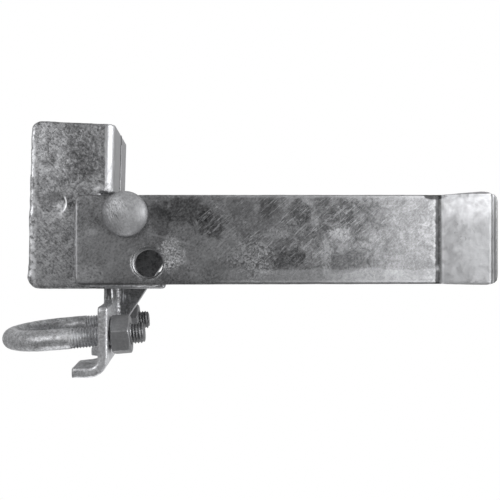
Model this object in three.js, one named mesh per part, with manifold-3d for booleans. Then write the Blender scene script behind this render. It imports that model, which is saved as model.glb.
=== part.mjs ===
// Gravity gate latch: a forked arm that hangs on a bracket, and the bracket is
// held to an upright gate tube by a U-bolt.
// Millimetres, +Z up. The origin is on the gate tube's axis, level with the
// middle of the clamp. The two arms point along -X, and the pivot lies along Y.

import * as THREE from 'three';
import { mergeVertices } from 'three/addons/utils/BufferGeometryUtils.js';
import Module from 'manifold-3d';

const wasm = await Module();
wasm.setup();

// ---------------------------------------------------------------- dimensions

const GATE_TUBE_R = 21.2;            // 42.4 mm tube, clamped but not part of the latch
const GAP = 0.2;                     // between faces that are welded or bolted together

const PIVOT = { x: -35.8, z: -69.5 };
const LOCK = { x: -48.35, z: -42.3, r: 8.8 };

const ROD_R = 6.1;                   // M12 rod with its zinc
const UBOLT = { legY: 29, bendX: 8.6, frontEndX: -46.5, rearEndX: -45, tilt: 0.081, riseAtOrigin: 1.6 };

const NUT = { acrossFlats: 20.6, height: 10.8, boreR: 6.45, cornerR: 11.5 };

const PLATE = {
  backX: -26.4, faceX: -GATE_TUBE_R, halfWidth: 42.15, neckHalfWidth: 18.3,
  shoulderZ: -18.1, neckEndZ: -75, topZ: 20.8, bendR: 10, prongTipX: -7,
  saddleR: GATE_TUBE_R + 0.1, saddleFloorZ: 8, holeR: 7,
};

const BLADE = {
  halfThickness: 2.5, topZ: 4.1, noseX: -57.9, noseZ: -43.7, eyeR: 10.5, weldTopZ: -6, weldBottomZ: -57,
};
const BUSH = { outerR: 8, innerR: 6.4, halfLength: 26.7 };

const HEEL = {
  inner: 27, outer: 32, topZ: -27.2, endX: -58.4, earZ: -79.5,
  freeTopX: 20, freeBottomX: 17.6, bottomZ: -123, bottomFoldZ: -121.3,
  webX: -23.3, webBackX: -28.5, webTopZ: -82.4, webBottomZ: -121.3,
  webLeanX: 0.028, slotHalfWidth: 3, seamTopZ: -114.6, foldR: 5.4,
  lockX: -48.65, lockZ: -41.5, lockR: 8,
};
const DIMPLE = { x: 4.9, z: -76, r: 6.25, depth: 1.6 };

const ARM = {
  inner: HEEL.outer + GAP, outer: 37.3, heelX: -7.9, topZ: -30, bottomZ: -80.5,
  bendX: -211.5, tipX: -239.5, tipOuter: 44.7, creaseR: 3, backR: 8,
};
ARM.tipAngle = Math.atan2(ARM.tipOuter - ARM.outer, ARM.bendX - ARM.tipX);

const BOLT = { r: 6, headR: 12.75, headHeight: 7.4, rimHeight: 0.9, neckHalf: 6, neckLength: 4.9, endY: 54 };
const WASHER = { innerR: 6.6, outerR: 12, thickness: 2.5 };

// ------------------------------------------------------------------ materials

const finish = (color, roughness) => new THREE.MeshStandardMaterial({ color, roughness, metalness: 0.85 });
const zinc = finish(0x8f9196, 0.45);
const lightZinc = finish(0xb4b6ba, 0.4);
const dullZinc = finish(0x5c5e61, 0.55);
const weldZinc = finish(0x9ea0a4, 0.5);

// -------------------------------------------------------------- solid helpers

function toSolid(geometry) {
  const shell = geometry.clone();
  shell.deleteAttribute('normal');
  shell.deleteAttribute('uv');
  const merged = mergeVertices(shell, 1e-4);
  return new wasm.Manifold(new wasm.Mesh({
    numProp: 3,
    vertProperties: new Float32Array(merged.attributes.position.array),
    triVerts: new Uint32Array(merged.index.array),
  }));
}

function toGeometry(solid) {
  const mesh = solid.getMesh();
  const geometry = new THREE.BufferGeometry();
  geometry.setAttribute('position', new THREE.BufferAttribute(mesh.vertProperties, 3));
  geometry.setIndex(new THREE.BufferAttribute(mesh.triVerts, 1));
  return geometry;
}

const join = (...parts) => parts.map(toSolid).reduce((whole, part) => whole.add(part));
const cut = (solid, ...tools) => tools.map(toSolid).reduce((rest, tool) => rest.subtract(tool), solid);

// A closed outline from corners [x, y, radius]; a radius rounds its corner.
function roundedShape(corners) {
  const shape = new THREE.Shape();
  const cornerAt = (i) => new THREE.Vector2(...corners.at(i % corners.length).slice(0, 2));
  corners.forEach(([x, y, radius = 0], i) => {
    if (!radius) {
      if (i) shape.lineTo(x, y);
      else shape.moveTo(x, y);
      return;
    }
    const corner = new THREE.Vector2(x, y);
    const toPrevious = cornerAt(i - 1).sub(corner).normalize();
    const toNext = cornerAt(i + 1).sub(corner).normalize();
    const halfAngle = Math.acos(toPrevious.dot(toNext)) / 2;
    const reach = radius / Math.tan(halfAngle);
    const bisector = toPrevious.clone().add(toNext).normalize();
    const centre = corner.clone().addScaledVector(bisector, radius / Math.sin(halfAngle));
    const angleOf = (direction) => {
      const touch = corner.clone().addScaledVector(direction, reach).sub(centre);
      return Math.atan2(touch.y, touch.x);
    };
    const from = angleOf(toPrevious);
    if (i === 1) shape.lineTo(centre.x + radius * Math.cos(from), centre.y + radius * Math.sin(from));
    const clockwise = toPrevious.cross(toNext) > 0;
    shape.absarc(centre.x, centre.y, radius, from, angleOf(toNext), clockwise);
  });
  shape.closePath();
  return shape;
}

const extrude = (shape, depth) => new THREE.ExtrudeGeometry(shape, { depth, bevelEnabled: false, curveSegments: 5 });

// An outline drawn in X and Z, from one Y to another.
function slabXZ(shape, yA, yB) {
  const depth = Math.abs(yB - yA);
  return extrude(shape, depth).rotateX(Math.PI / 2).translate(0, Math.max(yA, yB), 0);
}

// An outline drawn in Y and Z, from one X to another.
function slabYZ(shape, xA, xB) {
  const axes = new THREE.Matrix4().makeBasis(
    new THREE.Vector3(0, 1, 0), new THREE.Vector3(0, 0, 1), new THREE.Vector3(1, 0, 0));
  return extrude(shape, Math.abs(xB - xA)).applyMatrix4(axes).translate(Math.min(xA, xB), 0, 0);
}

// An outline drawn in X and Y, from one Z to another.
const slabXY = (shape, zA, zB) => extrude(shape, Math.abs(zB - zA)).translate(0, 0, Math.min(zA, zB));

// A round bar along Y, used for shafts and for drilling.
const rodY = (radius, x, z, yA, yB, sides = 32) => new THREE.CylinderGeometry(radius, radius, Math.abs(yB - yA), sides)
  .translate(x, (yA + yB) / 2, z);

// A ring or a solid of revolution about Y from [radius, y] points.
const turned = (points, sides = 32) => new THREE.LatheGeometry(points.map(([r, y]) => new THREE.Vector2(r, y)), sides);

const boxOf = (sizeX, sizeY, sizeZ, x, y, z) => new THREE.BoxGeometry(sizeX, sizeY, sizeZ).translate(x, y, z);

// Section of a fillet weld in the corner (a, b), growing by legA and legB, with a bulged face.
function beadShape(a, b, legA, legB) {
  const shape = new THREE.Shape();
  shape.moveTo(a, b);
  shape.lineTo(a + legA, b);
  shape.quadraticCurveTo(a + legA * 0.62, b + legB * 0.62, a, b + legB);
  shape.closePath();
  return shape;
}

// A hexagon nut along its own Y axis with both faces chamfered, from y = 0 to its height.
function hexNut() {
  const cornerR = NUT.acrossFlats / Math.sqrt(3);
  const hexagon = new THREE.CylinderGeometry(cornerR, cornerR, NUT.height, 6).translate(0, NUT.height / 2, 0);
  const chamfer = cornerR - NUT.cornerR + 1.1;
  const rounding = turned([
    [0, 0], [cornerR - chamfer, 0], [cornerR + 0.6, chamfer],
    [cornerR + 0.6, NUT.height - chamfer], [cornerR - chamfer, NUT.height], [0, NUT.height],
  ]);
  const bore = rodY(NUT.boreR, 0, 0, -1, NUT.height + 1);
  return toGeometry(cut(toSolid(hexagon).intersect(toSolid(rounding)), bore));
}

// -------------------------------------------------------------------- bracket

function clampPlate() {
  const { backX, faceX, topZ, bendR, prongTipX, neckEndZ } = PLATE;
  const thickness = faceX - backX;
  const bentBar = roundedShape([
    [backX, neckEndZ], [faceX, neckEndZ], [faceX, topZ - thickness, bendR - thickness],
    [prongTipX, topZ - thickness], [prongTipX, topZ], [backX, topZ, bendR],
  ]);
  const above = topZ + 5;
  const frontView = roundedShape([
    [-PLATE.neckHalfWidth, neckEndZ, 3], [PLATE.neckHalfWidth, neckEndZ, 3],
    [PLATE.neckHalfWidth, PLATE.shoulderZ, 2], [PLATE.halfWidth, PLATE.shoulderZ, 2],
    [PLATE.halfWidth, above], [-PLATE.halfWidth, above],
    [-PLATE.halfWidth, PLATE.shoulderZ, 2], [-PLATE.neckHalfWidth, PLATE.shoulderZ, 2],
  ]);
  const wholeWidth = toSolid(slabXZ(bentBar, -PLATE.halfWidth, PLATE.halfWidth));
  const shaped = wholeWidth.intersect(toSolid(slabYZ(frontView, backX - 5, prongTipX + 5)));
  const drill = (side) => new THREE.CylinderGeometry(PLATE.holeR, PLATE.holeR, 20, 40)
    .rotateZ(Math.PI / 2).translate((backX + faceX) / 2, side * UBOLT.legY, 0);
  const saddleHeight = above - PLATE.saddleFloorZ;
  const saddle = new THREE.CylinderGeometry(PLATE.saddleR, PLATE.saddleR, saddleHeight, 72)
    .rotateX(Math.PI / 2).translate(0, 0, PLATE.saddleFloorZ + saddleHeight / 2);
  return toGeometry(cut(shaped, drill(-1), drill(1), saddle));
}

function blade() {
  const { halfThickness, topZ, noseX, noseZ, eyeR } = BLADE;
  const rootX = PLATE.backX - GAP;
  const eyeX = PIVOT.x - eyeR;
  const eyeZ = PIVOT.z - eyeR;
  const outline = roundedShape([
    [rootX, topZ], [noseX, noseZ, 5], [eyeX, PIVOT.z + 8], [eyeX, eyeZ, eyeR - 0.5], [rootX, eyeZ, 2],
  ]);
  const plate = toSolid(slabXZ(outline, -halfThickness, halfThickness));
  const eye = rodY(BUSH.outerR + GAP, PIVOT.x, PIVOT.z, -halfThickness - 1, halfThickness + 1);
  return toGeometry(cut(plate, eye));
}

function pivotBush() {
  const { outerR, innerR, halfLength } = BUSH;
  return turned([
    [innerR, -halfLength], [outerR, -halfLength], [outerR, halfLength],
    [innerR, halfLength], [innerR, -halfLength],
  ]).translate(PIVOT.x, 0, PIVOT.z);
}

function bladeWeld(side) {
  const leg = 4;
  const shape = beadShape(PLATE.backX - GAP, side * (BLADE.halfThickness + GAP), -leg, side * leg);
  return slabXY(shape, BLADE.weldBottomZ, BLADE.weldTopZ);
}

function bushWeld(side) {
  const leg = 0.9;                   // small, because the clamp plate is close to the bush
  const r = BUSH.outerR + GAP;
  const y = BLADE.halfThickness + GAP;
  const points = [[r, y], [r + leg, y], [r + leg * 0.6, y + leg * 0.6], [r, y + leg], [r, y]];
  const ring = points.map(([radius, height]) => [radius, side * height]);
  if (side < 0) ring.reverse();
  return turned(ring).translate(PIVOT.x, 0, PIVOT.z);
}

// --------------------------------------------------------------------- U-bolt

// Centre line of the U-bolt in its own X-Y plane: a leg, a half circle, a leg.
class UBoltCurve extends THREE.Curve {
  getPoint(t, target = new THREE.Vector3()) {
    const { legY, bendX, frontEndX, rearEndX } = UBOLT;
    const frontLeg = bendX - frontEndX;
    const bend = Math.PI * legY;
    const along = t * (frontLeg + bend + bendX - rearEndX);
    if (along < frontLeg) return target.set(frontEndX + along, -legY, 0);
    if (along > frontLeg + bend) return target.set(bendX - (along - frontLeg - bend), legY, 0);
    const angle = (along - frontLeg) / legY - Math.PI / 2;
    return target.set(bendX + legY * Math.cos(angle), legY * Math.sin(angle), 0);
  }
}

function uBolt() {
  const section = new THREE.Shape().absarc(0, 0, ROD_R, 0, 2 * Math.PI);
  return new THREE.ExtrudeGeometry(section, {
    steps: 44, curveSegments: 9, bevelEnabled: false, extrudePath: new UBoltCurve(),
  });
}

function clampNut(side) {
  const hexTurn = -0.23;
  const seatX = PLATE.backX - 1.4;
  return hexNut().rotateY(hexTurn).rotateZ(Math.PI / 2).translate(seatX, side * UBOLT.legY, 0);
}

// ----------------------------------------------------------------------- fork

// The tool that presses the round dimple, pointing down its own Y axis from y = 0.3.
function dimple() {
  const { r, depth } = DIMPLE;
  return turned([[0, -depth], [r * 0.35, -depth * 0.9], [r * 0.7, -depth * 0.5], [r, 0], [r, 0.3], [0, 0.3]], 24);
}

function heelPlate(side) {
  const { inner, outer, webX, webBackX, webTopZ, webBottomZ, slotHalfWidth, seamTopZ } = HEEL;
  const joinX = webX + 2.5;
  const cheek = roundedShape([
    [HEEL.freeBottomX, HEEL.bottomZ, 5.5], [joinX, HEEL.bottomFoldZ], [joinX, HEEL.earZ, 1],
    [HEEL.endX, HEEL.earZ, 3], [HEEL.endX, HEEL.topZ, 2], [HEEL.freeTopX, HEEL.topZ, 6.5],
  ]);
  const fold = (halfGap) => roundedShape([
    [joinX + 4, side * inner], [webX, side * inner, 0.8], [webX, side * halfGap],
    [webBackX, side * halfGap], [webBackX, side * outer, HEEL.foldR], [joinX + 4, side * outer],
  ]);
  const lean = new THREE.Matrix4().makeShear(0, 0, 0, 0, HEEL.webLeanX, 0);
  const leaning = (geometry) => geometry.translate(0, 0, -webTopZ).applyMatrix4(lean).translate(0, 0, webTopZ);
  const plate = join(
    slabXZ(cheek, side * inner, side * outer),
    leaning(slabXY(fold(slotHalfWidth), webBottomZ, webTopZ)),
  );
  const dish = (y) => dimple().rotateX(side < 0 ? Math.PI : 0).translate(DIMPLE.x, side * y, DIMPLE.z);
  const shaft = rodY(BOLT.r + 0.6, PIVOT.x, PIVOT.z, side * (inner - 2), side * (outer + 2));
  const lockHole = rodY(HEEL.lockR, HEEL.lockX, HEEL.lockZ, side * (inner - 2), side * (outer + 2));
  return toGeometry(cut(plate.add(toSolid(dish(inner))), dish(outer), shaft, lockHole));
}

function heelSeamWeld() {
  const halfWidth = HEEL.slotHalfWidth - GAP;
  const shape = roundedShape([
    [HEEL.webX - 0.4, -halfWidth, 0.8], [HEEL.webX - 0.4, halfWidth, 0.8],
    [HEEL.webBackX - 0.6, halfWidth, 1.4], [HEEL.webBackX - 0.6, -halfWidth, 1.4],
  ]);
  const leanX = (HEEL.seamTopZ - HEEL.webTopZ) * HEEL.webLeanX;
  return slabXY(shape, HEEL.webBottomZ, HEEL.seamTopZ).translate(leanX, 0, 0);
}

function arm(side) {
  const { inner, outer, heelX, bendX, tipX, tipOuter, tipAngle, topZ, bottomZ } = ARM;
  const thickness = outer - inner;
  const innerTip = [tipX - thickness * Math.sin(tipAngle), tipOuter - thickness * Math.cos(tipAngle)];
  const innerBendX = innerTip[0] + (innerTip[1] - inner) / Math.tan(tipAngle);
  const topView = roundedShape([
    [heelX, side * inner], [heelX, side * outer], [bendX, side * outer, ARM.creaseR],
    [tipX, side * tipOuter], [innerTip[0], side * innerTip[1]], [innerBendX, side * inner, ARM.backR],
  ]);
  const endX = tipX - 0.8;
  const sideView = roundedShape([
    [heelX, bottomZ, 3], [heelX, topZ, 3], [bendX, topZ - 0.5], [endX, topZ - 0.4, 5.5],
    [endX, bottomZ - 1.9, 7.5], [bendX, bottomZ + 0.1],
  ]);
  const bar = toSolid(slabXY(topView, bottomZ - 3, topZ + 1)).intersect(toSolid(slabXZ(sideView, side * 20, side * 60)));
  const through = [side * (inner - 2), side * (outer + 2)];
  const lockHole = rodY(LOCK.r, LOCK.x, LOCK.z, ...through, 40);
  const squareHole = boxOf(12.6, 12, 12.6, PIVOT.x, side * outer, PIVOT.z);
  const roundHole = rodY(BOLT.r + 0.6, PIVOT.x, PIVOT.z, ...through);
  return toGeometry(cut(bar, lockHole, side < 0 ? squareHole : roundHole));
}

function armEndWeld(side) {
  const leg = 2.2;
  const shape = beadShape(ARM.heelX + GAP, side * (HEEL.outer + GAP), leg, side * leg);
  return slabXY(shape, ARM.bottomZ + 4, ARM.topZ - 4);
}

function armLedgeWeld(side) {
  const leg = 2.2;
  const shape = beadShape(side * (HEEL.outer + GAP), ARM.topZ + GAP, side * leg, leg);
  return slabYZ(shape, HEEL.endX + 3, ARM.heelX - 4);
}

// ------------------------------------------------------------- pivot fasteners

function pivotBolt() {
  const seatY = -ARM.outer - GAP;
  const rimY = seatY - BOLT.rimHeight;
  const crownY = seatY - BOLT.headHeight;
  const arcSteps = 7;
  const dome = Array.from({ length: arcSteps + 1 }, (_, i) => {
    const angle = (i / arcSteps) * Math.PI / 2;
    return [i === arcSteps ? 0 : BOLT.headR * Math.cos(angle), rimY + (crownY - rimY) * Math.sin(angle)];
  });
  const profile = [
    [0, BOLT.endY], [BOLT.r - 1, BOLT.endY], [BOLT.r, BOLT.endY - 1], [BOLT.r, seatY], [BOLT.headR, seatY], ...dome,
  ].reverse();
  const neck = boxOf(2 * BOLT.neckHalf, BOLT.neckLength + 1, 2 * BOLT.neckHalf, 0, seatY + (BOLT.neckLength - 1) / 2, 0);
  return toGeometry(join(turned(profile, 36), neck)).translate(PIVOT.x, 0, PIVOT.z);
}

function pivotWasher() {
  const y = ARM.outer + GAP;
  const { innerR, outerR, thickness } = WASHER;
  return turned([
    [innerR, y], [outerR, y], [outerR, y + thickness], [innerR, y + thickness], [innerR, y],
  ]).translate(PIVOT.x, 0, PIVOT.z);
}

const pivotNut = () => hexNut().translate(PIVOT.x, ARM.outer + WASHER.thickness + 2 * GAP, PIVOT.z);

// -------------------------------------------------------------------- assembly

function part(name, geometry, material) {
  const mesh = new THREE.Mesh(geometry, material);
  mesh.name = name;
  return mesh;
}

const SIDES = [['front', -1], ['rear', 1]];

const bracket = new THREE.Group();
bracket.add(part('clamp_plate', clampPlate(), zinc));
bracket.add(part('blade', blade(), dullZinc));
bracket.add(part('pivot_bush', pivotBush(), dullZinc));

const clamp = new THREE.Group();
clamp.position.z = UBOLT.riseAtOrigin;
clamp.rotation.y = -UBOLT.tilt;
clamp.add(part('u_bolt', uBolt(), zinc));

const fork = new THREE.Group();
fork.add(part('heel_seam_weld', heelSeamWeld(), weldZinc));
fork.add(part('pivot_bolt', pivotBolt(), lightZinc));
fork.add(part('pivot_washer', pivotWasher(), zinc));
fork.add(part('pivot_nut', pivotNut(), dullZinc));

for (const [name, side] of SIDES) {
  bracket.add(part(`blade_weld_${name}`, bladeWeld(side), weldZinc));
  bracket.add(part(`bush_weld_${name}`, bushWeld(side), weldZinc));
  clamp.add(part(`clamp_nut_${name}`, clampNut(side), dullZinc));
  fork.add(part(`heel_plate_${name}`, heelPlate(side), zinc));
  fork.add(part(`arm_${name}`, arm(side), zinc));
  fork.add(part(`arm_end_weld_${name}`, armEndWeld(side), weldZinc));
  fork.add(part(`arm_ledge_weld_${name}`, armLedgeWeld(side), weldZinc));
}

const latch = new THREE.Group();
latch.add(bracket, clamp, fork);

export default latch;
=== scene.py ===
# The look of the gravity gate latch: hot-dip galvanised skins over the CAD frame.
# Lengths are in metres in the row frame; lumps and material patterns are worked out in millimetres.
import math

import bpy
from mathutils import Matrix, Vector, noise


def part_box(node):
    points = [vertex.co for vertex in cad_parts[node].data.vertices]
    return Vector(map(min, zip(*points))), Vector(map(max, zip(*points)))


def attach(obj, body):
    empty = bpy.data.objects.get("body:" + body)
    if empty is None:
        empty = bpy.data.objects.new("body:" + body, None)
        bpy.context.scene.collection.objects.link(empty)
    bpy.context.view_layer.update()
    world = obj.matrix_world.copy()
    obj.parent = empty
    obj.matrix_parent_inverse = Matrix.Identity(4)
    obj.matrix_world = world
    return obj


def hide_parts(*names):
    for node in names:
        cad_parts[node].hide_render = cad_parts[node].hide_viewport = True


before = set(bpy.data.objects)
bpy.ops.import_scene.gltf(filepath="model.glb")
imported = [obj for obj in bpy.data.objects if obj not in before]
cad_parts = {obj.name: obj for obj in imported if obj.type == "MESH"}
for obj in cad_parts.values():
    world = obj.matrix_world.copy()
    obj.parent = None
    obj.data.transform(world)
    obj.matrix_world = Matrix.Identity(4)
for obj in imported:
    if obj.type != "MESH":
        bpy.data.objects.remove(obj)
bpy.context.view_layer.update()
scene = bpy.context.scene

MM = 0.001
SIDES = (("front", -1), ("rear", 1))

# Sizes of the fasteners. Those that the CAD frame has too are the same there, or up to 0.25 mm larger.
TILT = 0.081                   # lean of the U-bolt
RISE = 1.6 * MM                # height of the U-bolt's axis over the origin
LEG_Y = 29 * MM
BEND_X = 8.6 * MM
FRONT_STUD_X = -46.4 * MM
REAR_STUD_X = -44.9 * MM
ROD_R = 6.05 * MM
PITCH = 1.75 * MM
THREAD_DEPTH = 1.05 * MM
THREAD_LENGTH = 43 * MM
NUT_FLATS = 20.5 * MM
NUT_HEIGHT = 10.7 * MM
NUT_TURN = 13                  # degrees from a flat facing outward
NUT_BORE_R = 6.2 * MM
NUT_SEAT_X = -27.8 * MM        # the clamp plate's back, in the U-bolt's own frame
STUD_CHAMFER = 1.2 * MM
HEAD_HEIGHT = 7.4 * MM
HEAD_RIM_HEIGHT = 0.9 * MM
SQUARE_NECK_LENGTH = 4.9 * MM
SQUARE_NECK_CORNER_R = 7.9 * MM
BOLT_R = 6.0 * MM
BOLT_THREAD_LENGTH = 24 * MM

# Places on the fork, in millimetres.
FREE_EDGE_X = 14.5             # where the drips of the heel's free edge begin
FOLD_X = -20.5                 # where the smooth coat of the heel's fold begins
HEEL_BEND_X, HEEL_BEND_Y = -20, 24
BEND_WIDER = 1.2               # radius that the skin's bend has over the CAD frame's
LUMP_X, LUMP_Z = -25, -83      # the lump of zinc where the fold ends beside the arm
DIMPLE_X, DIMPLE_Z = 4.9, -76.0
CREASE_X = -210.9              # the middle of the flare's crease
TIP_X = -237
ARM_EDGE_Z, ARM_FAR_EDGE_Z = -31.5, -79.5


# ---------------------------------------------------------------- mesh helpers

def clamped(value):
    """The value, held between 0 and 1."""
    return max(0.0, min(1.0, value))


def angles(sides):
    return [math.tau * k / sides for k in range(sides)]


def new_piece(name, vertices, faces, smooth=True):
    """A mesh object in the scene."""
    mesh = bpy.data.meshes.new(name)
    mesh.from_pydata([tuple(v) for v in vertices], [], faces)
    mesh.validate()
    piece = bpy.data.objects.new(name, mesh)
    scene.collection.objects.link(piece)
    for polygon in mesh.polygons:
        polygon.use_smooth = smooth
    return piece


def wrapped_grid(name, rings, closed_loop):
    """A surface through rings of points. closed_loop joins the last ring to the first, else the ends are capped."""
    count, sides = len(rings), len(rings[0])
    vertices = [p for ring in rings for p in ring]
    faces = []
    for i in range(count if closed_loop else count - 1):
        j = (i + 1) % count
        for k in range(sides):
            m = (k + 1) % sides
            faces.append((i * sides + k, i * sides + m, j * sides + m, j * sides + k))
    if not closed_loop:
        faces.append(tuple(reversed(range(sides))))
        faces.append(tuple((count - 1) * sides + k for k in range(sides)))
    piece = new_piece(name, vertices, faces)
    outward(piece)
    return piece


def outward(piece):
    """Turns every face of a closed mesh to face out."""
    mesh = piece.data
    volume = 0.0
    for polygon in mesh.polygons:
        a, *rest = [mesh.vertices[i].co for i in polygon.vertices]
        for b, c in zip(rest, rest[1:]):
            volume += a.dot(b.cross(c))
    if volume < 0:
        mesh.flip_normals()


def refined(node, voxel, relax=5, lumps=None):
    """A fine skin grown from a CAD node: remeshed evenly, its edges relaxed, and its surface made uneven."""
    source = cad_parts[node]
    piece = bpy.data.objects.new(f"{node}_skin", source.data.copy())
    scene.collection.objects.link(piece)
    remesh = piece.modifiers.new("remesh", "REMESH")
    remesh.mode = "VOXEL"
    remesh.voxel_size = voxel
    soften = piece.modifiers.new("relax", "SMOOTH")
    soften.factor = 0.5
    soften.iterations = relax
    bpy.context.view_layer.update()
    evaluated = piece.evaluated_get(bpy.context.evaluated_depsgraph_get())
    mesh = bpy.data.meshes.new_from_object(evaluated)
    piece.modifiers.clear()
    piece.data = mesh
    mesh.materials.clear()
    if lumps:
        normals = [v.normal.copy() for v in mesh.vertices]
        for vertex, normal in zip(mesh.vertices, normals):
            vertex.co += normal * lumps(vertex.co / MM, normal) * MM
    for polygon in mesh.polygons:
        polygon.use_smooth = True
    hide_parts(node)
    return piece


def finish_piece(piece, material, body):
    """Gives a piece its material and the body that it rides on."""
    piece.data.materials.clear()
    piece.data.materials.append(material)
    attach(piece, body)


# --------------------------------------------------- unevenness of the zinc skin

def skin_lumps(p, normal):
    """Millimetres that the zinc stands off the steel at p, in millimetres."""
    broad = noise.noise(p * 0.06) * 0.10
    fine = noise.noise(p * 0.33 + Vector((7, 3, 1))) * 0.05
    return broad + fine - 0.05


def heel_drips(p):
    """Runs of zinc along the heel's free edge."""
    run = noise.noise(Vector((p.x * 0.1, p.y * 0.12, p.z * 0.075)))
    run += 0.5 * noise.noise(Vector((1, p.y * 0.2, p.z * 0.19)))
    return clamped((p.x - FREE_EDGE_X) / 3) * (0.4 + 1.5 * max(0.0, run)) * 0.55


def heel_lumps(p, normal):
    """The skin of the heel: drips, a smooth fold with a slightly wider bend, and a lump at the fold's end."""
    folded = clamped((FOLD_X - p.x) / 1.5)
    from_lump = (p.x - LUMP_X) ** 2 + (p.z - LUMP_Z) ** 2
    lump = math.exp(-from_lump / 12) * (0.7 + 0.9 * noise.noise(p * 0.55)) * clamped(abs(p.y) - 26)
    outside = normal.x < 0 and p.y * normal.y > 0
    on_bend = p.x < HEEL_BEND_X and abs(p.y) > HEEL_BEND_Y and outside
    cut = BEND_WIDER * max(0.0, abs(normal.x) + abs(normal.y) - 1) if on_bend else 0.0
    grit = abs(noise.noise(p * 0.55)) * 0.1 + abs(noise.noise(p * 0.25)) * 0.16
    grit *= 1 if normal.y < -0.5 else 0.5
    return (skin_lumps(p, normal) + grit) * (1 - 0.9 * folded) + heel_drips(p) + lump - cut


def arm_lumps(p, normal):
    """The skin of an arm, thicker on one edge and the tip, with a groove down the crease of the flare."""
    edges = clamped(p.z - ARM_EDGE_Z) * 0.25 - clamped(ARM_FAR_EDGE_Z - p.z) * 0.12
    tip = clamped(TIP_X - p.x) * 0.35
    outer_face = abs(normal.y) > 0.7 and p.y * normal.y > 0
    groove = math.exp(-((p.x - CREASE_X) / 1.3) ** 2) * (0.45 if outer_face else 0)
    return skin_lumps(p, normal) + edges + tip - groove


def seam_lumps(p, normal):
    """The bead that closes the end of the slot in the heel's web, which is flush with the web."""
    return -0.5 + skin_lumps(p, normal)


def plate_lumps(p, normal):
    """The thick coat of the bracket and its welds."""
    return 0.25 + skin_lumps(p, normal) + noise.noise(p * 0.5) * 0.06


# -------------------------------------------------------------- threaded pieces

def thread_cut(distance, angle):
    """How deep a screw thread is at a distance along it and an angle round it."""
    phase = (distance / PITCH + angle / math.tau) % 1.0
    return THREAD_DEPTH * abs(2 * phase - 1)


def u_bolt_frame():
    """From the U-bolt's own frame, in which its legs are level, to the row frame."""
    return Matrix.Translation((0, 0, RISE)) @ Matrix.Rotation(-TILT, 4, "Y")


def u_bolt():
    """The U-bolt's rod, swept from stud end to stud end, with its threads cut in."""
    sides = 28
    leg = BEND_X - FRONT_STUD_X
    bend = math.pi * LEG_Y
    total = leg + bend + BEND_X - REAR_STUD_X
    fine, coarse = PITCH / 8, 1.6 * MM
    stations, s = [], 0.0
    while s < total - fine / 2:
        stations.append(s)
        s += fine if min(s, total - s) < THREAD_LENGTH else coarse
    stations.append(total)
    lean = u_bolt_frame()
    rings = []
    for s in stations:
        from_end = min(s, total - s)
        if s < leg:
            centre, outside = Vector((FRONT_STUD_X + s, -LEG_Y, 0)), Vector((0, -1, 0))
        elif s > leg + bend:
            centre, outside = Vector((BEND_X - (s - leg - bend), LEG_Y, 0)), Vector((0, 1, 0))
        else:
            turn = (s - leg) / LEG_Y - math.pi / 2
            outside = Vector((math.cos(turn), math.sin(turn), 0))
            centre = Vector((BEND_X, 0, 0)) + outside * LEG_Y
        fade = clamped((THREAD_LENGTH - from_end) / (3 * MM))
        chamfer = max(0.0, STUD_CHAMFER - from_end)
        ring = []
        for angle in angles(sides):
            way = outside * math.cos(angle) + Vector((0, 0, 1)) * math.sin(angle)
            point = centre + way * ROD_R
            coat = (noise.noise(point / MM * 0.11) * 0.1 + noise.noise(point / MM * 0.5) * 0.06) * MM
            fill = 1 - 0.3 * max(0.0, noise.noise(point / MM * 0.16 + Vector((4, 4, 4))))
            skin = ROD_R - 0.05 * MM + coat * (1 - 0.6 * fade)
            radius = skin - fade * fill * thread_cut(s, angle) - chamfer
            ring.append(lean @ (centre + way * radius))
        rings.append(ring)
    piece = wrapped_grid("u_bolt_rod", rings, closed_loop=False)
    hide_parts("u_bolt")
    return piece


def hex_radius(angle, flats):
    sector = math.pi / 3
    return flats / 2 / math.cos((angle % sector) - sector / 2)


def hex_nut(name, node, place):
    """A nut with domed chamfers on both faces, its axis along local +Z from 0 to its height."""
    sides, steps = 96, 26
    corner = NUT_FLATS / math.sqrt(3)

    def outer(height, angle):
        near_face = min(height, NUT_HEIGHT - height)
        cone = corner - 1.5 * MM + near_face * 1.7
        shape = min(hex_radius(angle, NUT_FLATS), cone)
        return shape - 0.25 * MM * math.exp(-near_face / (0.4 * MM))

    def face(height):
        return [[(NUT_BORE_R + (outer(height, a) - NUT_BORE_R) * part, height, a) for a in angles(sides)]
                for part in (0.0, 0.5, 0.92)]

    heights = [NUT_HEIGHT * i / steps for i in range(steps + 1)]
    wall = [[(outer(h, a), h, a) for a in angles(sides)] for h in heights]
    rings = face(0.0) + wall + face(NUT_HEIGHT)[::-1]
    placed = [[place @ Vector((r * math.cos(a), r * math.sin(a), h)) for r, h, a in ring]
              for ring in rings]
    piece = wrapped_grid(name, placed, closed_loop=True)
    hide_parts(node)
    return piece


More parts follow.
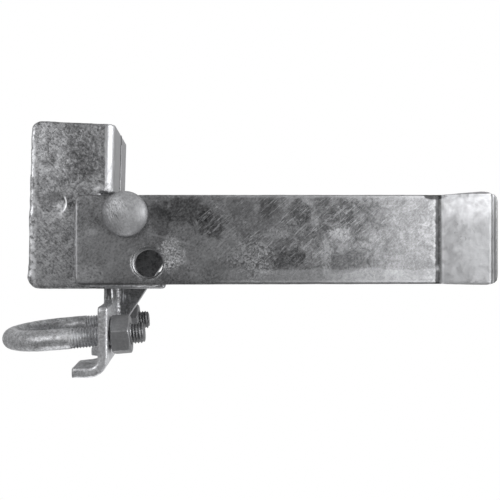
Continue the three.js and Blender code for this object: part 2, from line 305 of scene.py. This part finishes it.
def pivot_bolt():
    """The cup-head bolt: a domed head, a square neck, a shank and a threaded end."""
    low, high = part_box("pivot_bolt")
    pivot_x, pivot_z = (low.x + high.x) / 2, (low.z + high.z) / 2
    head_r = (high.x - low.x) / 2
    crown_y, end_y = low.y, high.y
    seat_y = crown_y + HEAD_HEIGHT
    rim_y = seat_y - HEAD_RIM_HEIGHT
    neck_end = seat_y + SQUARE_NECK_LENGTH
    thread_start = end_y - BOLT_THREAD_LENGTH
    sides, dome_steps = 64, 26
    rings = []

    def add(y, radius_at):
        ring = []
        for a in angles(sides):
            r = radius_at(a)
            ring.append(Vector((pivot_x + r * math.cos(a), y, pivot_z + r * math.sin(a))))
        rings.append(ring)

    def square(a):
        return min(BOLT_R / max(abs(math.cos(a)), abs(math.sin(a))), SQUARE_NECK_CORNER_R)

    for i in range(dome_steps + 1):
        t = math.pi / 2 * (1 - i / dome_steps)
        dome_r = max(head_r * math.cos(t), 0.05 * MM)
        add(rim_y + (crown_y - rim_y) * math.sin(t), lambda a: dome_r)
    add(seat_y - 0.25 * MM, lambda a: head_r)
    add(seat_y, lambda a: head_r - 0.3 * MM)
    add(seat_y, square)
    add(neck_end, square)
    add(neck_end + 0.8 * MM, lambda a: BOLT_R)
    y = neck_end + 2 * MM
    while y < end_y:
        threaded = y > thread_start
        chamfer = max(0.0, STUD_CHAMFER - (end_y - y))
        add(y, lambda a: BOLT_R - chamfer - (thread_cut(y, a) if threaded else 0))
        y += PITCH / 6 if threaded else 4 * MM
    add(end_y, lambda a: BOLT_R - 1.4 * MM)
    piece = wrapped_grid("pivot_cup_bolt", rings, closed_loop=False)
    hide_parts("pivot_bolt")
    return piece


# ------------------------------------------------------------------ weld beads

def weld_bead(name, node, start, end, across, up, width, seed):
    """A rippled bead in a corner, from start to end. across and up point along the two plates."""
    length = (end - start).length
    steps = max(10, int(length / (0.7 * MM)))
    sides = 14
    rings = []
    for i in range(steps + 1):
        t = i / steps
        centre = start.lerp(end, t)
        taper = math.sqrt(max(0.02, 1 - (2 * t - 1) ** 8))
        ripple = 1 + 0.07 * math.sin(t * length / (1.5 * MM) * math.pi)
        uneven = 1 + 0.22 * noise.noise(centre / MM * 0.22 + Vector((seed, 0, 0)))
        ring = []
        for k, a in enumerate(angles(sides)):
            local = 1 + 0.1 * noise.noise(centre / MM * 0.6 + Vector((seed, k, 0)))
            radius = width * 0.72 * taper * ripple * uneven * local
            ring.append(centre + across * (math.cos(a) * radius) + up * (math.sin(a) * radius))
        rings.append(ring)
    piece = wrapped_grid(name, rings, closed_loop=False)
    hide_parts(node)
    return piece


# -------------------------------------------------------------------- materials

class Graph:
    """Short spelling for a material's nodes. A value is a number, a colour or another node's socket."""

    def __init__(self, name):
        self.material = bpy.data.materials.new(name)
        self.material.use_nodes = True
        self.tree = self.material.node_tree
        self.shader = self.tree.nodes["Principled BSDF"]
        coordinates = self.tree.nodes.new("ShaderNodeTexCoord").outputs["Object"]
        scaled = self.tree.nodes.new("ShaderNodeVectorMath")
        scaled.operation = "SCALE"
        scaled.inputs["Scale"].default_value = 1 / MM
        self.tree.links.new(coordinates, scaled.inputs[0])
        self.place = scaled.outputs[0]
        split = self.tree.nodes.new("ShaderNodeSeparateXYZ")
        self.tree.links.new(self.place, split.inputs[0])
        self.x, self.y, self.z = split.outputs

    def put(self, socket, value):
        if isinstance(value, bpy.types.NodeSocket):
            self.tree.links.new(value, socket)
        elif hasattr(value, "__len__") and len(value) == 3 and socket.type == "RGBA":
            socket.default_value = (*value, 1)
        else:
            socket.default_value = value

    def node(self, kind, inputs, **settings):
        made = self.tree.nodes.new(kind)
        for key, value in settings.items():
            setattr(made, key, value)
        for key, value in inputs.items():
            self.put(made.inputs[key], value)
        return made

    def math(self, operation, a, b=0.0):
        return self.node("ShaderNodeMath", {0: a, 1: b}, operation=operation).outputs[0]

    def times(self, a, b):
        return self.math("MULTIPLY", a, b)

    def plus(self, a, b):
        return self.math("ADD", a, b)

    def minus(self, a, b):
        return self.math("SUBTRACT", a, b)

    def moved(self, offset=(0, 0, 0), stretch=(1, 1, 1)):
        inputs = {"Vector": self.place, "Location": offset, "Scale": stretch}
        return self.node("ShaderNodeMapping", inputs).outputs[0]

    def noise(self, scale, detail=4.0, roughness=0.55, distortion=0.0, where=None):
        inputs = {"Vector": where or self.place, "Scale": scale, "Detail": detail,
                  "Roughness": roughness, "Distortion": distortion}
        return self.node("ShaderNodeTexNoise", inputs).outputs["Fac"]

    def remap(self, value, low, high, to_low=0.0, to_high=1.0):
        """A smooth step from to_low, where the value is low, to to_high, where it is high."""
        inputs = {"Value": value, "From Min": low, "From Max": high, "To Min": to_low, "To Max": to_high}
        made = self.node("ShaderNodeMapRange", inputs, interpolation_type="SMOOTHSTEP")
        return made.outputs["Result"]

    def mix(self, factor, a, b):
        made = self.node("ShaderNodeMix", {"Factor": factor}, data_type="RGBA")
        self.put(made.inputs[6], a)
        self.put(made.inputs[7], b)
        return made.outputs[2]

    def threads(self, turn, length, width, seed=0.0):
        """Noise drawn out into threads of a length and a width in millimetres, turned by degrees about Y."""
        inputs = {"Vector": self.place, "Location": (seed, 0, seed), "Rotation": (0, math.radians(turn), 0),
                  "Scale": (length, width, width)}
        where = self.node("ShaderNodeMapping", inputs, vector_type="TEXTURE").outputs[0]
        return self.noise(1.0, 4.0, 0.6, 0.7, where)

    def band(self, value, low, high, soft):
        """1 where a value lies between low and high, with soft ends."""
        above = self.remap(value, low - soft, low + soft)
        return self.times(above, self.remap(value, high + soft, high - soft))

    def blob(self, x, z, radius_x, radius_z, ragged=0.5, scale=0.12, soft=0.3):
        """1 inside a ragged oval in X and Z, falling to 0 outside it."""
        along = self.math("DIVIDE", self.minus(self.x, x), radius_x)
        upward = self.math("DIVIDE", self.minus(self.z, z), radius_z)
        square = self.plus(self.times(along, along), self.times(upward, upward))
        rough = self.times(self.minus(self.noise(scale, 6.0, 0.65, 0.8), 0.5), 3 * ragged)
        return self.remap(self.plus(self.math("SQRT", square), rough), 0.9 + soft, 0.9 - soft)


def grey(value):
    """A neutral zinc grey, a touch blue."""
    return (value, value * 1.008, value * 1.035)


def zinc(name, dark, light, roughness=(0.4, 0.58), seed=0.0, marks=(), bump=0.35, calm=None, drawn=(0, 0.1)):
    """Hot-dip galvanised steel between two greys. marks is a function of the graph that gives (mask, grey)
    pairs to lay on top, calm one that gives a mask where the coat is smooth and its grey, and drawn the
    threads' turn in degrees and their weight."""
    g = Graph(name)
    turn, drawn_weight = drawn
    where = g.moved((seed, seed * 1.7, -seed))
    cloud = g.noise(0.035, 4.0, 0.6, 1.2, where)
    curl = g.noise(0.13, 8.0, 0.66, 1.6, where)
    grain = g.noise(0.75, 6.0, 0.72, 0.3, where)
    speck = g.noise(2.2, 3.0, 0.6)
    threads = g.threads(turn, 3.5, 0.6, seed)
    tone = g.times(cloud, 0.2)
    for part, weight in ((curl, 0.22), (grain, 0.34), (speck, 0.14), (threads, drawn_weight)):
        tone = g.plus(tone, g.times(part, weight))
    middle = 0.45 + drawn_weight / 2
    colour = g.mix(g.remap(tone, middle - 0.1, middle + 0.1), grey(dark), grey(light))
    for mask, laid in (marks(g) if marks else ()):
        colour = g.mix(mask, colour, grey(laid))
    uneven = g.plus(g.times(curl, 0.55), g.times(grain, 0.4))
    if calm:
        mask, shade = calm(g)
        colour = g.mix(mask, colour, grey(shade))
        # painted shade laid on the cut edges of the slot in the web
        colour = g.mix(slot_painted_shade(g), colour, grey(0.04))
        uneven = g.times(uneven, g.minus(1.0, mask))
    g.put(g.shader.inputs["Base Color"], colour)
    g.shader.inputs["Metallic"].default_value = 0.92
    g.put(g.shader.inputs["Roughness"], g.remap(curl, 0.35, 0.65, roughness[1], roughness[0]))
    made = g.node("ShaderNodeBump", {"Strength": bump, "Distance": 0.35 * MM, "Height": uneven})
    g.put(g.shader.inputs["Normal"], made.outputs[0])
    return g.material


# Patches of coat on the arms, one of them painted shade beside the bolt head: middle x and z, half width and
# height, raggedness, strength, and the grey.
ARM_PATCHES = (
    (-70, -71, 15, 8, 1.0, 0.9, 0.03),        # dark stains
    (-83, -63, 9, 8, 1.0, 0.9, 0.035),
    # painted shade beside the bolt head's dome
    (-56, -66, 6, 13, 0.7, 0.7, 0.045),
    (-99, -73, 11, 5, 1.1, 0.5, 0.05),
    (-126, -45, 12, 7.5, 0.8, 0.95, 0.035),
    (-133, -71, 8, 7, 1.1, 0.7, 0.05),
    (-116, -73, 6, 6, 1.1, 0.7, 0.05),
    (-124, -62, 20, 17, 0.8, 0.45, 0.05),
    (-152, -71, 17, 9, 1.1, 0.8, 0.05),
    (-168, -66, 17, 10, 1.2, 0.6, 0.08),
    (-160, -43, 17, 6, 0.9, 0.75, 0.06),
    (-142, -56, 12, 9, 1.2, 0.6, 0.06),
    (-148, -47, 3.5, 10, 0.8, 0.55, 0.5),     # pale runs and flakes
    (-156, -58, 6, 4, 1.1, 0.55, 0.65),
    (-119, -58, 9, 2.5, 1.2, 0.4, 0.5),
    (-17, -59.5, 4, 1.6, 0.5, 0.6, 0.55),
    (-27, -45, 24, 17, 0.6, 0.4, 0.4),        # paler coat over the heel
    (-14, -36, 10, 5, 1.0, 0.4, 0.6),
)


def arm_patches(g):
    """The stains, flakes and painted shade of ARM_PATCHES, the dark ones broken by the grain and the pale ones made
    of it.
    """
    grain = g.noise(0.7, 6.0, 0.72)
    patches = []
    for x, z, half_x, half_z, ragged, strength, shade in ARM_PATCHES:
        low, high = (0.85, 0.3) if shade < 0.3 else (0.35, 0.6)
        broken = g.times(g.remap(grain, low, high), strength)
        patches.append((g.times(g.blob(x, z, half_x, half_z, ragged, 0.075, 0.24), broken), shade))
    return patches


def arm_marks(g):
    """Stains, blooms, drawn-out threads and a pale strip in the arms' coat; painted highlights and painted shade
    along the arms' edges and ends; painted reflection towards the tip and over the flare; and the flare with its
    crease.
    """
    patches = arm_patches(g)
    wander = g.times(g.minus(g.noise(0.12, 5.0, 0.65), 0.5), 4.5)
    ragged = g.times(g.minus(g.noise(0.6, 5.0), 0.5), 1.4)
    past_heel = g.remap(g.x, -82, -96)
    low_strip = g.times(g.band(g.plus(g.z, wander), -38.6, -20, 0.7), past_heel)
    # painted highlight in a band along the arms' far edge
    far_edge_painted_highlight = g.times(g.band(g.plus(g.z, wander), -90, -78.2, 0.8), past_heel)
    # painted reflection: the arm paler towards its tip
    tip_painted_reflection = g.remap(g.plus(g.x, g.times(wander, 3.0)), -166, -190)

    rubbed = g.times(g.remap(g.threads(-42, 7, 0.55, 3), 0.54, 0.66), g.blob(-128, -62, 60, 22, 0.6, 0.05))
    scored = g.times(g.remap(g.threads(-40, 9, 0.5, 8), 0.56, 0.64), g.blob(-84, -68, 10, 9, 0.5))
    bloom = g.times(g.blob(-61.5, -47, 8, 10, 0.5, 0.2), g.remap(g.noise(0.8, 6.0, 0.7, 1.0), 0.42, 0.62))
    scales = g.noise(0.4, 6.0, 0.72, 1.8)
    scaly_area = g.blob(-106, -45, 13, 12, 0.6, 0.12)
    scaly = g.times(scaly_area, g.remap(scales, 0.5, 0.58))
    scaly_dark = g.times(scaly_area, g.remap(scales, 0.48, 0.41))
    curls = g.remap(g.noise(0.16, 7.0, 0.7, 3.0), 0.52, 0.62)
    swirl = g.times(g.blob(-146, -60, 26, 17, 0.6, 0.08), curls)

    crease = g.band(g.plus(g.x, ragged), -211.4, -208.9, 0.5)
    unbroken = g.minus(1.0, g.times(g.band(g.z, -40.5, -38.2, 1.2), 0.5))
    pool = g.blob(-208, -80.8, 7, 3.8, 0.25, 0.3, 0.12)
    # a painted highlight beside the crease; painted reflection on the flare, paler and brightest towards its top
    crease_gleam = g.band(g.plus(g.x, g.times(ragged, 0.3)), -213.6, -212.4, 0.3)
    flared = g.remap(g.x, -211.8, -212.8)
    flare_gleam = g.times(flared, g.remap(g.plus(g.z, g.times(wander, 2.0)), -60, -76))
    flecks = g.times(flared, g.remap(g.noise(0.45, 6.0, 0.72, 1.2), 0.57, 0.66))
    fleck_area = g.blob(-222, -60, 8, 6, 0.8, 0.15)
    near_tip = g.plus(g.x, g.times(ragged, 0.3))
    # a painted highlight just short of the tip, and painted shade on the tip's rounded end
    rim_gleam = g.band(near_tip, -236.2, -235.5, 0.2)
    rim_line = g.band(near_tip, -237.0, -236.4, 0.2)
    tip_painted_shade = g.remap(g.x, -237.4, -238.0)

    slope = g.plus(g.z, g.plus(g.times(g.x, 0.27), g.times(wander, 0.5)))
    ridge = g.times(g.band(slope, -72.5, -71.4, 0.3), g.band(g.x, -76, -49, 6))
    # pale zinc and a painted highlight along the arm's end by the heel
    heel_end_zinc_and_painted_highlight = g.times(g.band(g.plus(g.x, g.times(ragged, 0.15)), -8.9, -8.2, 0.2), g.band(g.z, -76, -33, 2))
    # painted highlights on the bevels of both long edges, and painted shade on the rounded edges beyond them
    lower_painted_highlight = g.times(g.band(g.z, -32.3, -31.5, 0.25), past_heel)
    lower_painted_shade = g.remap(g.z, -31.1, -30.5)
    upper_painted_highlight = g.times(g.band(g.z, -79.6, -78.9, 0.25), past_heel)
    upper_painted_shade = g.remap(g.z, -79.9, -80.4)
    return [
        (g.times(tip_painted_reflection, 0.26), 0.45),
        *patches,
        # painted reflection over the flare
        (g.times(flared, 0.85), 0.62),
        (g.times(flare_gleam, 0.85), 1.0),
        (g.times(low_strip, 0.28), 0.5),
        (g.times(far_edge_painted_highlight, 0.25), 0.45),
        (g.times(rubbed, 0.6), 0.5),
        (g.times(scored, 0.8), 0.6),
        (g.times(bloom, 0.9), 0.8),
        (g.times(swirl, 0.3), 0.5),
        (g.times(scaly_dark, 0.6), 0.06),
        (g.times(scaly, 0.6), 0.6),
        (g.times(flecks, 0.16), 0.2),
        (g.times(g.times(flecks, fleck_area), 0.6), 0.15),
        (g.times(ridge, 0.3), 0.55),
        (g.times(heel_end_zinc_and_painted_highlight, 0.55), 0.8),
        # painted highlights and painted shade along the long edges
        (g.times(lower_painted_highlight, 0.4), 0.6),
        (g.times(upper_painted_highlight, 0.3), 0.55),
        (g.times(lower_painted_shade, 0.75), 0.05),
        (g.times(upper_painted_shade, 0.6), 0.06),
        (g.times(g.times(crease, unbroken), 0.92), 0.03),
        (g.times(pool, 0.9), 0.03),
        (g.times(rim_gleam, 0.5), 0.9),
        (g.times(rim_line, 0.7), 0.12),
        (g.times(tip_painted_shade, 0.95), 0.1),
        (g.times(crease_gleam, 0.55), 0.85),
    ]


def heel_marks(g):
    """The heel's coat: pale drips on the free edge, a painted highlight on the dimple's wall, and a pale lump of
    zinc at the fold's end, spread as painted light over the shade there.
    """
    from_middle_x = g.math("POWER", g.minus(g.x, DIMPLE_X), 2.0)
    from_middle_z = g.math("POWER", g.minus(g.z, DIMPLE_Z), 2.0)
    from_dimple = g.math("SQRT", g.plus(from_middle_x, from_middle_z))
    # painted highlight on the dimple's wall towards -X
    highlight_side = g.times(g.remap(g.x, 0.6, -0.8), g.band(g.z, -79.5, -71.0, 1.0))
    dimple_painted_highlight = g.times(g.band(from_dimple, 6.3, 7.1, 0.2), highlight_side)
    torn = g.times(g.blob(-4.6, -76, 2.6, 5, 0.4, 0.3), g.remap(g.noise(0.7, 4.0, 0.7), 0.62, 0.42))
    edge_line = g.plus(g.x, g.times(g.noise(0.25, 4.0), 4.0))
    edge = g.times(g.remap(edge_line, 16.2, 18.6), g.remap(g.noise(0.35, 5.0, 0.7), 0.4, 0.55))
    curls = g.remap(g.noise(0.42, 7.0, 0.72, 2.4), 0.53, 0.64)
    # a pale lump of zinc, spread wider as painted light over the shade below the fold's end
    lump = g.times(g.blob(-23.5, -83.2, 6.5, 3.6, 0.4, 0.3), g.remap(g.noise(0.6, 4.0), 0.35, 0.5))
    shade = g.times(g.blob(-12, -104, 12, 16, 0.6, 0.06), g.remap(g.noise(0.5, 6.0, 0.7), 0.62, 0.4))
    return [
        (g.times(curls, 0.5), 0.7),
        (g.times(shade, 0.7), 0.06),
        (g.times(torn, 0.8), 0.04),
        (g.times(edge, 0.75), 0.9),
        (g.times(lump, 0.5), 0.75),
        (dimple_painted_highlight, 1.0),
    ]


def heel_calm(g):
    """The fold and the web behind it, which have no grain, and their grey."""
    return g.remap(g.plus(g.x, g.times(g.noise(0.5, 3.0), 0.8)), -22.9, -24.1), 0.42


def slot_painted_shade(g):
    """Painted shade on the cut edges that face each other across the slot in the web."""
    return g.times(g.remap(g.math("ABSOLUTE", g.y), 3.6, 3.2), g.remap(g.x, -21, -22))


def blade_marks(g):
    """Bright runs of zinc down the blade beside the clamp plate's neck, and a painted highlight along its sloping
    edge.
    """
    runs = g.noise(0.9, 3.0, 0.5, 0.4, g.moved((2, 0, 5), (1.2, 1.0, 0.16)))
    area = g.blob(-29, -18, 6, 16, 0.3)
    # painted highlight along the blade's sloping edge
    from_edge = g.plus(g.times(g.plus(g.x, 26.6), 0.837), g.times(g.minus(4.1, g.z), 0.548))
    edge = g.band(from_edge, -1.0, 0.7, 0.25)
    return [(g.times(area, g.remap(runs, 0.56, 0.62)), 0.8), (g.times(edge, 0.7), 0.75)]


def plate_marks(g):
    """The clamp plate's neck, made darker between bright runs of zinc."""
    runs = g.noise(0.9, 3.0, 0.5, 0.4, g.moved((1, 0, 3), (1.2, 1.0, 0.16)))
    neck = g.remap(g.z, -17, -21)
    return [(g.times(neck, g.remap(runs, 0.6, 0.5, 0.0, 0.85)), 0.1)]


def rod_painted_shade(g):
    """The stud ends past the nuts, darkened with painted shade."""
    past_nuts = g.times(g.remap(g.x, -37.5, -39.5), g.remap(g.z, -22, -20))
    return [(g.times(past_nuts, 0.8), 0.14)]


def head_marks(g):
    """Scratches across the bolt head, a brighter, scuffed side, and painted shade on the other side."""
    scratches = g.remap(g.threads(62, 6, 0.5, 5), 0.54, 0.64)
    cuts = g.times(g.remap(g.threads(75, 4, 0.4, 2), 0.55, 0.62), g.blob(-30, -71, 6, 7, 0.5, 0.2))
    scuffs = g.times(g.blob(-29.5, -73, 7, 7, 0.6, 0.2, 0.5), g.remap(g.threads(55, 4, 0.8, 11), 0.4, 0.6))
    return [
        # painted shade on the head's side towards -X
        (g.remap(g.x, -37, -45, 0.0, 0.6), 0.24),
        (g.times(scratches, 0.6), 0.24),
        (g.times(scuffs, 0.6), 0.85),
        (g.times(cuts, 0.8), 0.1),
    ]


def seam_painted_shade(g):
    """Painted shade on the seam between the folded cheeks."""
    return [(g.remap(g.z, -81, -84, 0.0, 0.85), 0.12)]


def make_materials():
    return {
        "heel": zinc("heel_zinc", 0.11, 0.52, seed=11.0, marks=heel_marks, bump=0.6, calm=heel_calm,
                     drawn=(45, 0.2)),
        "arm": zinc("arm_zinc", 0.10, 0.36, seed=40.0, marks=arm_marks, bump=0.35, drawn=(-42, 0.15)),
        "plate": zinc("plate_zinc", 0.3, 0.85, seed=73.0, marks=plate_marks, bump=0.5),
        "blade": zinc("blade_zinc", 0.09, 0.34, seed=5.0, marks=blade_marks),
        "rod": zinc("rod_zinc", 0.28, 0.86, seed=91.0, marks=rod_painted_shade, bump=0.4),
        "head": zinc("head_zinc", 0.32, 0.56, roughness=(0.6, 0.72), seed=23.0, marks=head_marks, bump=0.45),
        "nut": zinc("nut_zinc", 0.24, 0.36, roughness=(0.5, 0.66), seed=61.0, bump=0.2),
        "weld": zinc("weld_zinc", 0.28, 0.72, seed=33.0, marks=seam_painted_shade, bump=0.8),
    }


# ----------------------------------------------------------------------- build

# Beads in straight corners: CAD fillet, way along the first plate, width in millimetres, seed and body.
BEADS = (
    ("blade", (-1, 0, 0), 3.6, 3.0, "bracket"),
    ("arm_end", (1, 0, 0), 1.9, 9.0, "fork"),
    ("arm_ledge", (0, 0, 1), 1.9, 15.0, "fork"),
)


def build_latch(materials):
    for name, _ in SIDES:
        arm = refined(f"arm_{name}", 1.0 * MM, 5, arm_lumps)
        finish_piece(arm, materials["arm"], "fork")
        heel = refined(f"heel_plate_{name}", 0.9 * MM, 4, heel_lumps)
        finish_piece(heel, materials["heel"], "fork")
    plate = refined("clamp_plate", 0.8 * MM, 5, plate_lumps)
    finish_piece(plate, materials["plate"], "bracket")
    blade = refined("blade", 0.8 * MM, 3, skin_lumps)
    finish_piece(blade, materials["blade"], "bracket")
    bush = refined("pivot_bush", 0.6 * MM, 2)
    finish_piece(bush, materials["blade"], "bracket")
    washer = refined("pivot_washer", 0.5 * MM, 3)
    finish_piece(washer, materials["rod"], "fork")
    seam = refined("heel_seam_weld", 0.5 * MM, 3, seam_lumps)
    finish_piece(seam, materials["weld"], "fork")
    finish_piece(u_bolt(), materials["rod"], "clamp")
    finish_piece(pivot_bolt(), materials["head"], "fork")
    build_nuts(materials["nut"])
    build_welds(materials["weld"])


def build_nuts(material):
    """The U-bolt's two nuts, their axes along its legs, and the pivot bolt's."""
    along_minus_x = Matrix.Rotation(-math.pi / 2, 4, "Y")
    turn = Matrix.Rotation(math.radians(NUT_TURN), 4, "Z")
    for name, side in SIDES:
        seat = Matrix.Translation((NUT_SEAT_X, side * LEG_Y, 0))
        place = u_bolt_frame() @ seat @ along_minus_x @ turn
        nut = hex_nut(f"clamp_hex_nut_{name}", f"clamp_nut_{name}", place)
        finish_piece(nut, material, "bracket")
    low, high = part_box("pivot_nut")
    middle = (low + high) / 2
    along_plus_y = Matrix.Rotation(-math.pi / 2, 4, "X")
    place = Matrix.Translation((middle.x, low.y, middle.z)) @ along_plus_y
    finish_piece(hex_nut("pivot_hex_nut", "pivot_nut", place), material, "fork")


def build_welds(material):
    for name, side in SIDES:
        for kind, way, width, seed, body in BEADS:
            low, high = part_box(f"{kind}_weld_{name}")
            across, along_z = Vector(way), way[2] == 0
            start = Vector((high.x if across.x < 0 else low.x, low.y if side > 0 else high.y, low.z))
            end = Vector((start.x if along_z else high.x, start.y, high.z if along_z else low.z))
            bead = weld_bead(f"{kind}_bead_{name}", f"{kind}_weld_{name}", start, end, across,
                             Vector((0, side, 0)), width * MM, seed + side)
            finish_piece(bead, material, body)
        finish_piece(refined(f"bush_weld_{name}", 0.4 * MM, 2), material, "bracket")


# -------------------------------------------------------------- camera and light

def add_camera():
    """Level with the arms, square to their faces, and upside down, as the latch is shown."""
    camera = bpy.data.objects.new("camera", bpy.data.cameras.new("camera"))
    scene.collection.objects.link(camera)
    right, up, back = Vector((-1, 0, 0)), Vector((0, 0, -1)), Vector((0, -1, 0))
    turn = Matrix((right, up, back)).transposed().to_4x4()
    camera.matrix_world = Matrix.Translation((-0.0698, -0.339, -0.0505)) @ turn
    camera.data.sensor_width = 36
    camera.data.lens = 38.95
    camera.data.shift_x = 0.128
    camera.data.shift_y = -0.004
    camera.data.clip_start = 0.01
    scene.camera = camera


def add_area_light(name, place, target, size, watts):
    light = bpy.data.lights.new(name, "AREA")
    light.shape = "RECTANGLE"
    light.size, light.size_y = size
    light.energy = watts
    holder = bpy.data.objects.new(name, light)
    scene.collection.objects.link(holder)
    holder.location = place
    holder.visible_camera = False
    way = Vector(target) - Vector(place)
    holder.rotation_euler = way.to_track_quat("-Z", "Y").to_euler()


def add_lights():
    """Small softboxes past the jaw and the heel, and weaker fills behind and above."""
    middle = (-0.1, 0.0, -0.06)
    jaw = (-0.22, -0.04, -0.06)
    add_area_light("softbox_jaw_side", (-0.41, -0.27, -0.10), jaw, (0.26, 0.34), 1.0)
    add_area_light("softbox_tip", (-0.60, -0.20, -0.20), jaw, (0.26, 0.26), 1.6)
    add_area_light("softbox_heel_side", (0.34, -0.55, -0.28), middle, (0.3, 0.3), 1.2)
    add_area_light("back_fill", (-0.1, 0.8, 0.35), middle, (1.2, 1.0), 0.9)
    add_area_light("top_fill", (-0.1, -0.05, 0.75), middle, (0.6, 0.5), 1.5)


def add_world():
    """White to look at; as a light, darker in front of the latch than behind it, as in a small white studio."""
    world = bpy.data.worlds.new("studio")
    scene.world = world
    world.use_nodes = True
    tree = world.node_tree
    tree.nodes.clear()
    seen = tree.nodes.new("ShaderNodeBackground")
    seen.inputs["Color"].default_value = (1, 1, 1, 1)
    seen.inputs["Strength"].default_value = 1.0
    lit = tree.nodes.new("ShaderNodeBackground")
    lit.inputs["Strength"].default_value = 1.0
    direction = tree.nodes.new("ShaderNodeTexCoord")
    split = tree.nodes.new("ShaderNodeSeparateXYZ")
    ramp = tree.nodes.new("ShaderNodeMapRange")
    for socket, value in (("From Min", -0.9), ("From Max", 0.5), ("To Min", 0.16), ("To Max", 0.5)):
        ramp.inputs[socket].default_value = value
    path = tree.nodes.new("ShaderNodeLightPath")
    choose = tree.nodes.new("ShaderNodeMixShader")
    out = tree.nodes.new("ShaderNodeOutputWorld")
    link = tree.links.new
    link(direction.outputs["Generated"], split.inputs[0])
    link(split.outputs["Y"], ramp.inputs["Value"])
    link(ramp.outputs["Result"], lit.inputs["Color"])
    link(path.outputs["Is Camera Ray"], choose.inputs[0])
    link(lit.outputs[0], choose.inputs[1])
    link(seen.outputs[0], choose.inputs[2])
    link(choose.outputs[0], out.inputs["Surface"])


def add_floor():
    """A small pale disc well below the latch, outside the main camera's view."""
    sides, radius, middle_x, height = 96, 0.3, -0.1, -0.40
    ring = [Vector((radius * math.cos(a) + middle_x, radius * math.sin(a), height)) for a in angles(sides)]
    floor = new_piece("floor", ring, [tuple(range(sides))], smooth=False)
    paper = bpy.data.materials.new("pale_floor")
    paper.use_nodes = True
    shader = paper.node_tree.nodes["Principled BSDF"]
    shader.inputs["Base Color"].default_value = (0.86, 0.86, 0.86, 1)
    shader.inputs["Roughness"].default_value = 0.8
    floor.data.materials.append(paper)


add_camera()
add_world()
add_lights()
add_floor()
build_latch(make_materials())
scene.view_settings.view_transform = "Standard"
